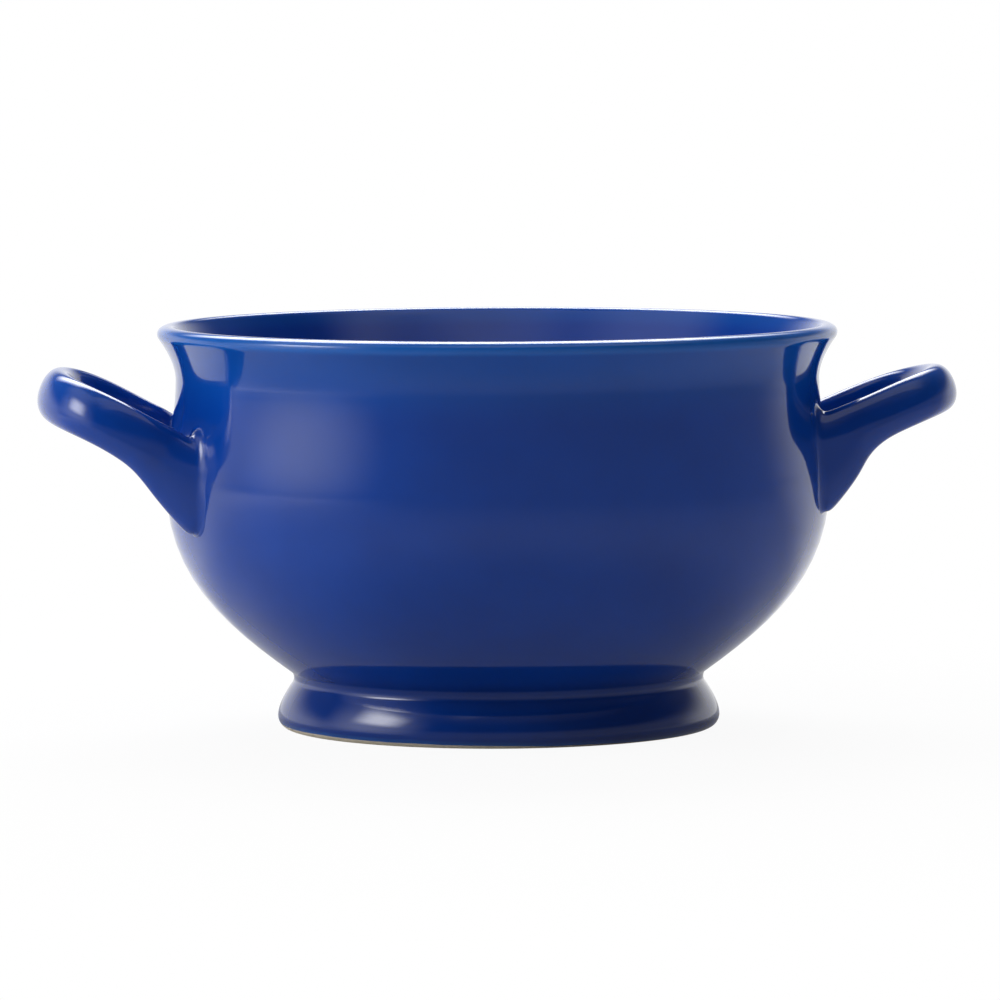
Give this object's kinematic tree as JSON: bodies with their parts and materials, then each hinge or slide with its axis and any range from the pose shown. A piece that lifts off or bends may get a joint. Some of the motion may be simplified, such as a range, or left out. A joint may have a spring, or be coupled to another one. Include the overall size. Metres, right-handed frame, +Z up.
{
  "type": "two-handled soup bowl",
  "caption": "Glazed pottery soup bowl with rounded belly, flared lip, hollow foot ring and a slanting loop handle on either side.",
  "frame": {"origin": "on the table under the middle of the bowl, at the foot's contact ring", "axes": "+Z up along the bowl's axis, +X along the line of the two handles towards the right handle, +Y towards the back as pictured"},
  "size_m": [0.1838, 0.135, 0.08],
  "materials": {
    "cobalt_glaze": "gloss"
  },
  "bodies": {
    "root": {"bowl_body": "cobalt_glaze", "foot_ring": "cobalt_glaze", "foot_slip": "cobalt_glaze", "right_handle": "cobalt_glaze", "left_handle": "cobalt_glaze", "right_handle_front_slip": "cobalt_glaze", "right_handle_rear_slip": "cobalt_glaze", "left_handle_front_slip": "cobalt_glaze", "left_handle_rear_slip": "cobalt_glaze"}
  },
  "joints": []
}
